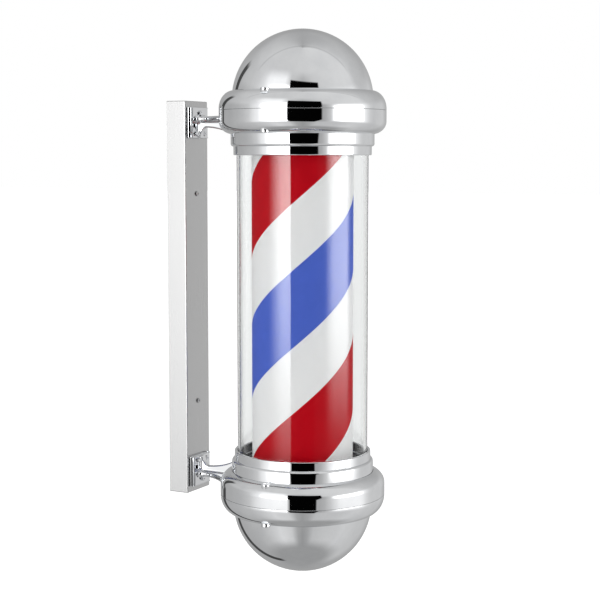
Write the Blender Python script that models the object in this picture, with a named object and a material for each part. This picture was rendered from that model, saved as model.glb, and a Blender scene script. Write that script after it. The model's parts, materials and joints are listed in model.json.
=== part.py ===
"""Wall-mounted barber pole light.

A vertical pole stands off a wall channel on two cast arms. Inside a clear outer tube a striped drum turns about
the pole's axis, driven from below by a geared motor and lit from within by a lamp on a fixed stem.

Frame: origin at the middle of the wall face, +Y into the wall, +X to the right seen from the room, +Z up.
The pole is the same above and below its middle, so its turned shells are drawn once for the upper end, with
heights measured from the middle, and turned over for the lower end.
"""

import math

import bmesh
import bpy
from mathutils import Matrix, Vector

MM = 0.001

# Clearance between pieces that rest on each other.
GAP = 0.3 * MM

# Pole: distances from the wall and from the middle.
AXIS_Y = -187.2 * MM
POLE_HALF = 348 * MM

# Dome: part of a sphere, with a flange under the shoulder's lip.
DOME_RADIUS = 89.8 * MM
DOME_WALL = 2.4 * MM
DOME_FLANGE_Z = 261.2 * MM
DOME_FLANGE_RADIUS = 96 * MM

# Fat band, parted by a seam into a shoulder (dome side) and a band (tube side).
BAND_RADIUS = 106.3 * MM
BAND_WALL = 3 * MM
BAND_ROUND_WIDTH = 18.3 * MM
SEAM_Z = 245.8 * MM
SEAM_HALF_GAP = 0.3 * MM
SHOULDER_ARC_Z = 247.5 * MM
SHOULDER_ARC_HEIGHT = 23 * MM
SHOULDER_HOLE = 90.2 * MM
SHOULDER_LIP_Z = 261.5 * MM
BAND_ARC_Z = 232 * MM
BAND_ARC_HEIGHT = 16.2 * MM
BAND_HOLE = 91.7 * MM
BAND_LIP_Z = 226.1 * MM
LIP_EDGE_RADIUS = 97.5 * MM
LIP_SLOPE = 5.5 * MM

# Stepped collar that holds the end of the outer tube.
RING_1_RADIUS = 91.3 * MM
RING_2_RADIUS = 87.8 * MM
RING_ROUND_Z = 203.8 * MM
RING_2_Z = 189.3 * MM
COLLAR_SEAT_Z = 204.8 * MM
COLLAR_SEAT_RADIUS = 80 * MM
FLANGE_THICKNESS = 2.5 * MM

# Outer tube and its gaskets.
TUBE_RADIUS = 83.8 * MM
TUBE_WALL = 4 * MM
TUBE_HALF = 202 * MM
GASKET_THICKNESS = 2.2 * MM

# Bulkhead plates that close the collars.
PLATE_Z = 229.2 * MM
PLATE_THICKNESS = 2.5 * MM
PLATE_RADIUS = 94.5 * MM
PLATE_TOP_Z = PLATE_Z + PLATE_THICKNESS

# Drum and its film.
DRUM_RADIUS = 64.3 * MM
DRUM_WALL = 1.2 * MM
DRUM_HALF = 206 * MM
FILM_RADIUS = 65 * MM
FILM_WALL = 0.4 * MM
FILM_HALF = 204 * MM
CAP_THICKNESS = 2.5 * MM
CAP_Z = 201 * MM
HUB_RADIUS = 16 * MM
HUB_HEIGHT = 16 * MM
SHAFT_RADIUS = 4 * MM
BUSH_RADIUS = 10 * MM
BUSH_HEIGHT = 7 * MM

# Lamp on its fixed stem, and what feeds it.
STEM_RADIUS = 6 * MM
STEM_BORE = 3.5 * MM
STEM_TOP_Z = 247 * MM
STEM_LOW_Z = 186.6 * MM
STEM_NUT_RADIUS = 11 * MM
STEM_NUT_HEIGHT = 6 * MM
HOLDER_RADIUS = 20 * MM
HOLDER_HEIGHT = 34 * MM
LAMP_RADIUS = 19 * MM
LAMP_LENGTH = 270 * MM
DRIVER_SIZE = (86 * MM, 38 * MM, 22 * MM)
DRIVER_OFFSET_Y = 38 * MM
LEAD_RADIUS = 2 * MM
LEAD_RADIUS_OUT = 72 * MM
LEAD_HALF = 240 * MM

# Geared motor under the lower bulkhead plate.
GEARBOX_RADIUS = 34 * MM
GEARBOX_HEIGHT = 22 * MM
MOTOR_RADIUS = 28 * MM
MOTOR_HEIGHT = 30 * MM
MOTOR_SCREW_OUT = 26 * MM
TERMINAL_SIZE = (38 * MM, 18 * MM, 15 * MM)
TERMINAL_OFFSET_Y = 58 * MM

# Mains inlet gland at the back of the lower shoulder.
GLAND_Z = -256 * MM
GLAND_BORE = 3.4 * MM
GLAND_SHANK = 5 * MM
GLAND_HEAD = 8 * MM
GLAND_START = 97 * MM
GLAND_SHANK_LENGTH = 10 * MM
GLAND_STRAIGHT = 5 * MM
GLAND_TAIL = 11 * MM
GLAND_CUT_LENGTH = 20 * MM

# Wall channel, wall plate and the standoffs between them.
CHANNEL_WIDTH = 55.5 * MM
CHANNEL_DEPTH = 28.5 * MM
CHANNEL_HALF = 260 * MM
CHANNEL_WALL = 1.5 * MM
CHANNEL_BEVEL = 1 * MM
WALL_PLATE_WIDTH = 46 * MM
WALL_PLATE_HALF = 255 * MM
WALL_PLATE_THICKNESS = 3 * MM
WALL_HOLE_RADIUS = 3 * MM
WALL_HOLE_HEIGHTS = (-170 * MM, -60 * MM, 60 * MM, 170 * MM)
STANDOFF_Z = 138.5 * MM
STANDOFF_RADIUS = 6 * MM
STANDOFF_BORE = 2.1 * MM
STANDOFF_STEPS = 6
BACKING_SIZE = (46 * MM, 3 * MM, 46 * MM)

# Cast arm: foot, flange and web. Its free edges are drawn in a few straight steps.
FOOT_WIDTH = 47 * MM
FOOT_DEPTH = 6.2 * MM
FOOT_HEIGHT = 40 * MM
FOOT_Z = 231.8 * MM
FOOT_ROUND = 6 * MM
FLANGE_LOW_Z = 233 * MM
FLANGE_HIGH_Z = 240 * MM
ARM_HALF_WIDTH = 9.5 * MM
ARM_FLARE = 29 * MM
FLARE_START_Y = -45 * MM
FLARE_END_Y = -89 * MM
ARM_END_Y = -97 * MM
WEB_HALF_WIDTH = 3.5 * MM
WEB_FOOT_Z = 225.5 * MM
WEB_POLE_DROP = 19 * MM
WEB_FILLET_WIDTH = 8 * MM
WEB_FILLET_HEIGHT = 13 * MM
RIB_DEPTH = 2 * MM
EDGE_STEPS = 6
FILLET_STEPS = 3
ARM_BOLT_X = 14 * MM
ARM_BOLT_Z = 236.5 * MM
ARM_BOLT_OUT = 100.9 * MM
FOOT_SCREW_PLACES = ((0.0, 244.4 * MM), (-9.3 * MM, 217.6 * MM), (9.3 * MM, 217.6 * MM))

# Screws: head radius, head height, shank radius and shank length.
FOOT_SCREW = (3.4 * MM, 2.2 * MM, 1.8 * MM, 12 * MM)
CHANNEL_SCREW = (3.2 * MM, 1.6 * MM, 1.7 * MM, 12 * MM)
MOTOR_SCREW = (3.4 * MM, 2.2 * MM, 1.8 * MM, 10 * MM)
ARM_BOLT = (3.4 * MM, 3 * MM, 1.7 * MM, 14 * MM)
SCREW_HOLE_RADIUS = 2.1 * MM
SCREW_CUT_LENGTH = 16 * MM

# Rim screws that stand on the shoulder's and the band's lips, left and right of the pole.
RIM_SCREW_OUT = 97.2 * MM
RIM_HEAD_RADIUS = 5.2 * MM
RIM_POCKET_RADIUS = 6.4 * MM
RIM_HEAD_HEIGHT = 6 * MM
RIM_SHANK_RADIUS = 2 * MM
RIM_SHANK_LENGTH = 6.5 * MM
RIM_CUT_LENGTH = 14 * MM
SHOULDER_HEAD_Z = 265.5 * MM
BAND_HEAD_Z = 222.2 * MM

# Facets round a turned piece, by its size.
STEPS_LARGE = 32
STEPS_MEDIUM = 20
STEPS_SMALL = 10
ARC_STEPS = 4
DOME_STEPS = 6

# A cutter's facets are turned by this much of one facet, so that no corner of it meets a corner of its target.
CUTTER_PHASE = 0.37

# Colour, metallic value and roughness.
FINISHES = {
    "chrome": ((0.78, 0.79, 0.8), 1.0, 0.06),
    "satin_steel": ((0.62, 0.62, 0.62), 1.0, 0.3),
    "zinc_steel": ((0.55, 0.56, 0.57), 1.0, 0.4),
    "clear_acrylic": ((0.93, 0.95, 0.96), 0.0, 0.03),
    "drum_plastic": ((0.9, 0.9, 0.88), 0.0, 0.4),
    "stripe_film": ((0.85, 0.85, 0.85), 0.0, 0.25),
    "rubber": ((0.03, 0.03, 0.03), 0.0, 0.7),
    "motor_steel": ((0.4, 0.4, 0.41), 1.0, 0.45),
    "brass": ((0.72, 0.55, 0.25), 1.0, 0.3),
    "white_plastic": ((0.85, 0.85, 0.83), 0.0, 0.45),
    "black_plastic": ((0.03, 0.03, 0.035), 0.0, 0.45),
}


def clear_scene():
    for obj in list(bpy.data.objects):
        bpy.data.objects.remove(obj, do_unlink=True)


def finish(name):
    """The material of one finish, made on first use."""
    material = bpy.data.materials.get(name)
    if material is None:
        colour, metallic, roughness = FINISHES[name]
        material = bpy.data.materials.new(name)
        material.use_nodes = True
        shader = material.node_tree.nodes["Principled BSDF"]
        shader.inputs["Base Color"].default_value = (*colour, 1.0)
        shader.inputs["Metallic"].default_value = metallic
        shader.inputs["Roughness"].default_value = roughness
    return material


def add_object(name, mesh_builder, material):
    """Links a new object whose mesh comes from a bmesh."""
    mesh = bpy.data.meshes.new(name)
    bmesh.ops.recalc_face_normals(mesh_builder, faces=mesh_builder.faces)
    mesh_builder.to_mesh(mesh)
    mesh_builder.free()
    mesh.shade_smooth()
    mesh.set_sharp_from_angle(angle=math.radians(35))
    obj = bpy.data.objects.new(name, mesh)
    bpy.context.collection.objects.link(obj)
    if material:
        mesh.materials.append(finish(material))
    return obj


def turned(name, outline, material, steps=STEPS_LARGE, place=(0.0, AXIS_Y, 0.0), flip=False, phase=0.0):
    """A body of revolution about its own Z.

    outline is a list of (radius, height) points. A hollow body's outline closes on itself; a solid one starts and
    ends on the axis. flip turns the body over, for the pole's lower end. phase turns the facets, in facets.
    """
    builder = bmesh.new()
    solid = outline[0][0] == 0.0
    rings = []
    for radius, height in outline:
        z = -height if flip else height
        if radius == 0.0:
            rings.append([builder.verts.new((0.0, 0.0, z))])
            continue
        turns = [2 * math.pi * (i + phase) / steps for i in range(steps)]
        rings.append([builder.verts.new((radius * math.cos(a), radius * math.sin(a), z)) for a in turns])
    pairs = list(zip(rings, rings[1:]))
    if not solid:
        pairs.append((rings[-1], rings[0]))
    for lower, upper in pairs:
        for i in range(steps):
            j = (i + 1) % steps
            corners = [lower[i % len(lower)], lower[j % len(lower)], upper[j % len(upper)], upper[i % len(upper)]]
            builder.faces.new(list(dict.fromkeys(corners)))
    obj = add_object(name, builder, material)
    obj.location = place
    return obj


def box(name, size, centre, material, bevel=0.0):
    builder = bmesh.new()
    bmesh.ops.create_cube(builder, size=1.0, matrix=Matrix.Diagonal((*size, 1.0)))
    if bevel:
        bmesh.ops.bevel(
            builder, geom=builder.edges[:], offset=bevel, segments=2, profile=0.5, affect="EDGES", clamp_overlap=True
        )
    obj = add_object(name, builder, material)
    obj.location = centre
    return obj


def prism(name, outline, depth_axis, low, high, material):
    """A flat outline carried from low to high along X or Z.

    The outline's points are (y, z) when carried along X and (x, y) when carried along Z.
    """
    builder = bmesh.new()

    def point(pair, depth):
        return (depth, *pair) if depth_axis == "X" else (*pair, depth)

    start = [builder.verts.new(point(pair, low)) for pair in outline]
    end = [builder.verts.new(point(pair, high)) for pair in outline]
    builder.faces.new(start)
    builder.faces.new(end)
    for i in range(len(outline)):
        j = (i + 1) % len(outline)
        builder.faces.new([start[i], start[j], end[j], end[i]])
    return add_object(name, builder, material)


def as_tool(obj):
    """Marks an object as a cutter or a joined piece, which isn't a part by itself."""
    obj.hide_render = True
    obj.display_type = "WIRE"
    return obj


def combine(target, tool, operation):
    modifier = target.modifiers.new(tool.name, "BOOLEAN")
    modifier.operation = operation
    modifier.solver = "EXACT"
    modifier.object = tool


def aim(obj, direction):
    """Turns an object so that its own +Z points along direction."""
    obj.rotation_euler = Vector(direction).to_track_quat("Z", "Y").to_euler()


def drill(name, targets, start, direction, radius, length, steps=STEPS_SMALL):
    """Cuts one round hole, from start along direction, through each target."""
    outline = disc_outline(radius, 0.0, length)
    cutter = as_tool(turned(name, outline, None, steps, start, phase=CUTTER_PHASE))
    aim(cutter, direction)
    for target in targets:
        combine(target, cutter, "DIFFERENCE")


def screw(name, seat, direction, head_radius, head_height, shank_radius, shank_length, material="chrome"):
    """A screw whose head rests at seat and whose shank runs along direction."""
    rim = 0.7 * head_radius
    outline = [
        (0.0, -head_height),
        (rim, -head_height),
        (head_radius, -0.7 * head_height),
        (head_radius, 0.0),
        (shank_radius, 0.0),
        (shank_radius, shank_length),
        (0.0, shank_length),
    ]
    obj = turned(name, outline, material, STEPS_SMALL, seat)
    aim(obj, direction)
    return obj


def arc(centre_radius, centre_z, width, height, start, stop, steps):
    """Points of an ellipse in the turning plane, between two angles in degrees from the outward direction."""
    angles = [math.radians(start + (stop - start) * i / steps) for i in range(steps + 1)]
    return [(centre_radius + width * math.cos(a), centre_z + height * math.sin(a)) for a in angles]


# Outlines of the pole's end, drawn for the upper one.

ARC_CENTRE_RADIUS = BAND_RADIUS - BAND_ROUND_WIDTH


def lip_angle(hole):
    """Where the rounded part of the band reaches the hole's edge."""
    return math.degrees(math.acos((hole - ARC_CENTRE_RADIUS) / BAND_ROUND_WIDTH))


def dome_outline():
    centre_z = POLE_HALF - DOME_RADIUS
    inner = DOME_RADIUS - DOME_WALL
    foot = DOME_FLANGE_Z - FLANGE_THICKNESS
    outside = arc(0.0, centre_z, DOME_RADIUS, DOME_RADIUS, 1, 90, DOME_STEPS)[:-1]
    inside = arc(0.0, centre_z, inner, inner, 1, 90, DOME_STEPS)[:-1]
    return (
        [(0.0, centre_z + inner)]
        + inside[::-1]
        + [(inner, foot), (DOME_FLANGE_RADIUS, foot), (DOME_FLANGE_RADIUS, DOME_FLANGE_Z)]
        + [(DOME_RADIUS, DOME_FLANGE_Z)]
        + outside
        + [(0.0, POLE_HALF)]
    )


def shoulder_outline():
    low = SEAM_Z + SEAM_HALF_GAP
    inner = BAND_RADIUS - BAND_WALL
    curve = arc(
        ARC_CENTRE_RADIUS, SHOULDER_ARC_Z, BAND_ROUND_WIDTH, SHOULDER_ARC_HEIGHT, 0, lip_angle(SHOULDER_HOLE), ARC_STEPS
    )
    lip = [(SHOULDER_HOLE, SHOULDER_LIP_Z), (LIP_EDGE_RADIUS, SHOULDER_LIP_Z)]
    return [(inner, low), (BAND_RADIUS, low)] + curve + lip + [(inner, SHOULDER_LIP_Z - LIP_SLOPE)]


def band_outline():
    high = SEAM_Z - SEAM_HALF_GAP
    inner = BAND_RADIUS - BAND_WALL
    curve = arc(ARC_CENTRE_RADIUS, BAND_ARC_Z, BAND_ROUND_WIDTH, BAND_ARC_HEIGHT, 0, -lip_angle(BAND_HOLE), ARC_STEPS)
    lip = [(BAND_HOLE, BAND_LIP_Z), (LIP_EDGE_RADIUS, BAND_LIP_Z)]
    return [(inner, high), (BAND_RADIUS, high)] + curve + lip + [(inner, BAND_LIP_Z + LIP_SLOPE)]


def collar_outline():
    bore = TUBE_RADIUS + GAP
    flange_z = BAND_LIP_Z + GAP
    top = flange_z + FLANGE_THICKNESS
    step = RING_1_RADIUS - RING_2_RADIUS
    return [
        (bore, RING_2_Z),
        (RING_2_RADIUS, RING_2_Z),
        *arc(RING_2_RADIUS, RING_ROUND_Z, step, step, -90, 0, FILLET_STEPS),
        (RING_1_RADIUS, flange_z),
        (DOME_FLANGE_RADIUS, flange_z),
        (DOME_FLANGE_RADIUS, top),
        (COLLAR_SEAT_RADIUS, top),
        (COLLAR_SEAT_RADIUS, COLLAR_SEAT_Z),
        (bore, COLLAR_SEAT_Z),
    ]


def clearance_outline():
    """The outside of band and collar, moved out by the gap, that an arm's end is cut to."""
    curve = arc(
        ARC_CENTRE_RADIUS,
        BAND_ARC_Z,
        BAND_ROUND_WIDTH + 2 * GAP,
        BAND_ARC_HEIGHT + 2 * GAP,
        0,
        -lip_angle(BAND_HOLE),
        ARC_STEPS,
    )
    top = SEAM_Z + BAND_ROUND_WIDTH
    ring = RING_1_RADIUS + 2 * GAP
    return [(0.0, RING_2_Z), (ring, RING_2_Z), (ring, curve[-1][1])] + curve[::-1] + [(curve[0][0], top), (0.0, top)]


def ring_outline(inner, outer, low, high):
    return [(inner, low), (outer, low), (outer, high), (inner, high)]


def disc_outline(radius, low, high):
    return [(0.0, low), (radius, low), (radius, high), (0.0, high)]


def make_pole_end(end, sign):
    """Dome, shoulder, band, collar, gasket and rim screws of one end."""
    flip = sign < 0
    dome = turned(end + "_dome", dome_outline(), "chrome", flip=flip)
    shoulder = turned(end + "_shoulder", shoulder_outline(), "chrome", flip=flip)
    band = turned(end + "_band", band_outline(), "chrome", flip=flip)
    collar = turned(end + "_collar", collar_outline(), "chrome", flip=flip)
    gasket_low = TUBE_HALF + GAP
    gasket = ring_outline(COLLAR_SEAT_RADIUS, TUBE_RADIUS - GAP, gasket_low, gasket_low + GASKET_THICKNESS)
    turned(end + "_gasket", gasket, "rubber", flip=flip)
    for side, x in (("left", -RIM_SCREW_OUT), ("right", RIM_SCREW_OUT)):
        for joint, parts, seat_z, inward in (
            ("dome", (shoulder, dome), SHOULDER_HEAD_Z, -sign),
            ("collar", (band, collar), BAND_HEAD_Z, sign),
        ):
            name = f"{end}_{joint}_screw_{side}"
            seat = (x, AXIS_Y, sign * seat_z)
            floor = (x, AXIS_Y, sign * seat_z + inward * GAP)
            screw(name, seat, (0, 0, inward), RIM_HEAD_RADIUS, RIM_HEAD_HEIGHT, RIM_SHANK_RADIUS, RIM_SHANK_LENGTH)
            drill(name + "_pocket", parts[:1], floor, (0, 0, -inward), RIM_POCKET_RADIUS, RIM_CUT_LENGTH)
            drill(name + "_hole", parts, seat, (0, 0, inward), RIM_SHANK_RADIUS + GAP, RIM_CUT_LENGTH)
    return band, shoulder


def make_arm(end, sign, channel, band):
    """One cast arm with its foot screws, backing plate and band bolts."""
    back = -CHANNEL_DEPTH - GAP
    front = back - FOOT_DEPTH
    foot_middle = (back + front) / 2
    half = FOOT_WIDTH / 2
    corner = [
        (half - FOOT_ROUND + FOOT_ROUND * math.sin(turn), front + FOOT_ROUND * (1 - math.cos(turn)))
        for turn in (math.radians(90 * i / FILLET_STEPS) for i in range(FILLET_STEPS + 1))
    ]
    foot_plan = corner + [(half, back), (-half, back)] + [(-x, y) for x, y in corner[::-1]]
    foot_low, foot_high = FOOT_Z - FOOT_HEIGHT / 2, FOOT_Z + FOOT_HEIGHT / 2
    arm = prism(end + "_arm", foot_plan, "Z", sign * foot_low, sign * foot_high, "chrome")

    edge = [(ARM_HALF_WIDTH, foot_middle)]
    for i in range(EDGE_STEPS + 1):
        part = i / EDGE_STEPS
        y = FLARE_START_Y + part * (FLARE_END_Y - FLARE_START_Y)
        edge.append((ARM_HALF_WIDTH + ARM_FLARE * part**2, y))
    edge.append((ARM_HALF_WIDTH + ARM_FLARE, ARM_END_Y))
    plan = edge + [(-x, y) for x, y in edge[::-1]]
    flange = prism(end + "_arm_flange", plan, "Z", sign * FLANGE_LOW_Z, sign * FLANGE_HIGH_Z, None)

    rib = front - RIB_DEPTH
    rise = [math.radians(90 * i / FILLET_STEPS) for i in range(FILLET_STEPS + 1)]
    lower = [(foot_middle, WEB_FOOT_Z - WEB_FILLET_HEIGHT)]
    lower += [
        (rib - WEB_FILLET_WIDTH * (1 - math.cos(turn)), WEB_FOOT_Z - WEB_FILLET_HEIGHT * (1 - math.sin(turn)))
        for turn in rise
    ]
    web_start = rib - WEB_FILLET_WIDTH
    for i in range(1, EDGE_STEPS + 1):
        part = i / EDGE_STEPS
        lower.append((web_start + part * (ARM_END_Y - web_start), WEB_FOOT_Z - WEB_POLE_DROP * part**2))
    lower = [(y, sign * z) for y, z in lower]
    middle = sign * (FLANGE_LOW_Z + FLANGE_HIGH_Z) / 2
    side = lower + [(ARM_END_Y, middle), (foot_middle, middle)]
    web = prism(end + "_arm_web", side, "X", -WEB_HALF_WIDTH, WEB_HALF_WIDTH, None)

    clearance = turned(end + "_arm_clearance", clearance_outline(), None, flip=sign < 0)
    for tool, operation in ((flange, "UNION"), (web, "UNION"), (clearance, "DIFFERENCE")):
        combine(arm, as_tool(tool), operation)

    backing_y = -CHANNEL_DEPTH + CHANNEL_WALL + GAP + BACKING_SIZE[1] / 2
    backing = box(end + "_backing_plate", BACKING_SIZE, (0.0, backing_y, sign * FOOT_Z), "zinc_steel")
    for number, (x, z) in enumerate(FOOT_SCREW_PLACES, 1):
        seat = (x, front - GAP, sign * z)
        name = f"{end}_foot_screw_{number}"
        screw(name, seat, (0, 1, 0), *FOOT_SCREW)
        drill(name + "_hole", (arm, channel, backing), seat, (0, 1, 0), SCREW_HOLE_RADIUS, SCREW_CUT_LENGTH)
    for side, x in (("left", -ARM_BOLT_X), ("right", ARM_BOLT_X)):
        seat = (x, AXIS_Y + ARM_BOLT_OUT, sign * ARM_BOLT_Z)
        name = f"{end}_arm_bolt_{side}"
        screw(name, seat, (0, 1, 0), *ARM_BOLT, "zinc_steel")
        drill(name + "_hole", (band, arm), seat, (0, 1, 0), SCREW_HOLE_RADIUS, SCREW_CUT_LENGTH)


def make_channel():
    """The channel on the wall, the wall plate in it and the two screws that hold it."""
    channel = box(
        "wall_channel",
        (CHANNEL_WIDTH, CHANNEL_DEPTH, 2 * CHANNEL_HALF),
        (0.0, -CHANNEL_DEPTH / 2, 0.0),
        "satin_steel",
        CHANNEL_BEVEL,
    )
    hollow = box(
        "channel_hollow",
        (CHANNEL_WIDTH - 2 * CHANNEL_WALL, CHANNEL_DEPTH, 2 * (CHANNEL_HALF - CHANNEL_WALL)),
        (0.0, -CHANNEL_DEPTH / 2 + CHANNEL_WALL, 0.0),
        None,
    )
    combine(channel, as_tool(hollow), "DIFFERENCE")

    plate = box(
        "wall_plate",
        (WALL_PLATE_WIDTH, WALL_PLATE_THICKNESS, 2 * WALL_PLATE_HALF),
        (0.0, -WALL_PLATE_THICKNESS / 2, 0.0),
        "zinc_steel",
    )
    for number, z in enumerate(WALL_HOLE_HEIGHTS, 1):
        start = (0.0, -2 * WALL_PLATE_THICKNESS, z)
        drill(f"wall_hole_{number}", (plate,), start, (0, 1, 0), WALL_HOLE_RADIUS, 4 * WALL_PLATE_THICKNESS)

    front = -CHANNEL_DEPTH + CHANNEL_WALL
    for name, z in (("upper", STANDOFF_Z), ("lower", -STANDOFF_Z)):
        length = -WALL_PLATE_THICKNESS - front - 2 * GAP
        outline = ring_outline(STANDOFF_BORE, STANDOFF_RADIUS, 0.0, length)
        standoff = turned("standoff_" + name, outline, "zinc_steel", STANDOFF_STEPS, (0.0, front + GAP, z))
        aim(standoff, (0, 1, 0))
        seat = (0.0, -CHANNEL_DEPTH - GAP, z)
        screw("channel_screw_" + name, seat, (0, 1, 0), *CHANNEL_SCREW)
        drill(f"channel_screw_{name}_hole", (channel,), seat, (0, 1, 0), SCREW_HOLE_RADIUS, 2 * CHANNEL_WALL)
    return channel


def make_drive(shoulder):
    """Bulkhead plates, geared motor, terminal block and the mains inlet gland."""
    bore = ring_outline(STEM_RADIUS + GAP, PLATE_RADIUS, PLATE_Z, PLATE_TOP_Z)
    top = turned("top_plate", bore, "zinc_steel")
    bottom = turned("bottom_plate", bore, "zinc_steel", flip=True)

    gearbox_z = -PLATE_TOP_Z - GAP
    low = gearbox_z - GEARBOX_HEIGHT
    body = [
        (0.0, gearbox_z),
        (GEARBOX_RADIUS, gearbox_z),
        (GEARBOX_RADIUS, low),
        (MOTOR_RADIUS, low),
        (MOTOR_RADIUS, low - MOTOR_HEIGHT),
        (0.0, low - MOTOR_HEIGHT),
    ]
    motor = turned("gear_motor", body, "motor_steel", STEPS_MEDIUM)
    for side, x in (("left", -MOTOR_SCREW_OUT), ("right", MOTOR_SCREW_OUT)):
        seat = (x, AXIS_Y, -PLATE_Z + GAP)
        name = "motor_screw_" + side
        screw(name, seat, (0, 0, -1), *MOTOR_SCREW, "zinc_steel")
        drill(name + "_hole", (bottom, motor), seat, (0, 0, -1), SCREW_HOLE_RADIUS, SCREW_CUT_LENGTH)

    z = gearbox_z - TERMINAL_SIZE[2] / 2
    box("terminal_block", TERMINAL_SIZE, (0.0, AXIS_Y + TERMINAL_OFFSET_Y, z), "white_plastic", 1 * MM)

    for name, plate in (("top", top), ("bottom", bottom)):
        start = (0.0, AXIS_Y + LEAD_RADIUS_OUT, PLATE_Z - LEAD_RADIUS if name == "top" else -PLATE_TOP_Z - LEAD_RADIUS)
        drill(name + "_lead_hole", (plate,), start, (0, 0, 1), LEAD_RADIUS + 2 * GAP, 4 * LEAD_RADIUS)

    gland_start = (0.0, AXIS_Y + GLAND_START, GLAND_Z)
    outline = [
        (GLAND_BORE, 0.0),
        (GLAND_SHANK, 0.0),
        (GLAND_SHANK, GLAND_SHANK_LENGTH),
        (GLAND_HEAD, GLAND_SHANK_LENGTH),
        (GLAND_HEAD, GLAND_SHANK_LENGTH + GLAND_STRAIGHT),
        (GLAND_SHANK, GLAND_SHANK_LENGTH + GLAND_TAIL),
        (GLAND_BORE, GLAND_SHANK_LENGTH + GLAND_TAIL),
    ]
    gland = turned("mains_inlet_gland", outline, "black_plastic", STEPS_SMALL, gland_start)
    aim(gland, (0, 1, 0))
    drill("mains_inlet_hole", (shoulder,), gland_start, (0, 1, 0), GLAND_SHANK + GAP, GLAND_CUT_LENGTH)


def make_lamp():
    """Lamp on the fixed stem that hangs from the top plate through the drum's bush, and what feeds it."""
    stem = ring_outline(STEM_BORE, STEM_RADIUS, STEM_LOW_Z, STEM_TOP_Z)
    turned("lamp_stem", stem, "zinc_steel", STEPS_MEDIUM)
    nut_low = PLATE_TOP_Z + GAP
    nut = ring_outline(STEM_RADIUS + GAP, STEM_NUT_RADIUS, nut_low, nut_low + STEM_NUT_HEIGHT)
    turned("stem_nut", nut, "brass", STEPS_MEDIUM)
    holder_top = STEM_LOW_Z - GAP
    holder_low = holder_top - HOLDER_HEIGHT
    turned("lamp_holder", disc_outline(HOLDER_RADIUS, holder_low, holder_top), "white_plastic", STEPS_MEDIUM)
    lamp_top = holder_low - GAP
    tip = lamp_top - LAMP_LENGTH
    lamp = [(0.0, lamp_top), (LAMP_RADIUS, lamp_top), (LAMP_RADIUS, tip + LAMP_RADIUS)]
    lamp += arc(0.0, tip + LAMP_RADIUS, LAMP_RADIUS, LAMP_RADIUS, -30, -60, 1) + [(0.0, tip)]
    turned("led_lamp", lamp, "white_plastic", STEPS_MEDIUM)
    driver_z = PLATE_TOP_Z + GAP + DRIVER_SIZE[2] / 2
    box("led_driver", DRIVER_SIZE, (0.0, AXIS_Y - DRIVER_OFFSET_Y, driver_z), "white_plastic", 1.5 * MM)
    lead = disc_outline(LEAD_RADIUS, -LEAD_HALF, LEAD_HALF)
    turned("riser_lead", lead, "black_plastic", 8, (0.0, AXIS_Y + LEAD_RADIUS_OUT, 0.0))


def make_drum():
    """Everything that turns, placed by an empty on the pole's axis."""
    axis = bpy.data.objects.new("drum_axis", None)
    axis.location = (0.0, AXIS_Y, 0.0)
    bpy.context.collection.objects.link(axis)
    centre = (0.0, 0.0, 0.0)
    cap_radius = DRUM_RADIUS - DRUM_WALL - GAP
    hub_low = -CAP_Z + GAP
    hub_bore = SHAFT_RADIUS + GAP
    bush_low = CAP_Z - BUSH_HEIGHT / 2 + CAP_THICKNESS / 2
    shell = ring_outline(DRUM_RADIUS - DRUM_WALL, DRUM_RADIUS, -DRUM_HALF, DRUM_HALF)
    film = ring_outline(FILM_RADIUS - FILM_WALL, FILM_RADIUS, -FILM_HALF, FILM_HALF)
    top_cap = ring_outline(BUSH_RADIUS + GAP, cap_radius, CAP_Z, CAP_Z + CAP_THICKNESS)
    bottom_cap = ring_outline(hub_bore, cap_radius, -CAP_Z - CAP_THICKNESS, -CAP_Z)
    bush = ring_outline(STEM_RADIUS + GAP, BUSH_RADIUS, bush_low, bush_low + BUSH_HEIGHT)
    hub = ring_outline(hub_bore, HUB_RADIUS, hub_low, hub_low + HUB_HEIGHT)
    shaft = disc_outline(SHAFT_RADIUS, -PLATE_TOP_Z, hub_low + HUB_HEIGHT)
    pieces = (
        ("drum_shell", shell, "drum_plastic", STEPS_LARGE),
        ("stripe_film", film, "stripe_film", STEPS_LARGE),
        ("drum_top_cap", top_cap, "drum_plastic", STEPS_LARGE),
        ("drum_bottom_cap", bottom_cap, "drum_plastic", STEPS_LARGE),
        ("drum_top_bush", bush, "brass", STEPS_MEDIUM),
        ("drum_hub", hub, "brass", STEPS_MEDIUM),
        ("motor_shaft", shaft, "zinc_steel", STEPS_SMALL),
    )
    for name, outline, material, steps in pieces:
        turned(name, outline, material, steps, centre).parent = axis


def main():
    clear_scene()
    channel = make_channel()
    turned("outer_tube", ring_outline(TUBE_RADIUS - TUBE_WALL, TUBE_RADIUS, -TUBE_HALF, TUBE_HALF), "clear_acrylic")
    shoulders = {}
    for end, arm_end, sign in (("top", "upper", 1), ("bottom", "lower", -1)):
        band, shoulders[end] = make_pole_end(end, sign)
        make_arm(arm_end, sign, channel, band)
    make_drive(shoulders["bottom"])
    make_lamp()
    make_drum()


main()
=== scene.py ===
"""Finished surfaces, materials and studio of a wall-mounted barber pole light, built round its frame."""

import json

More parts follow.
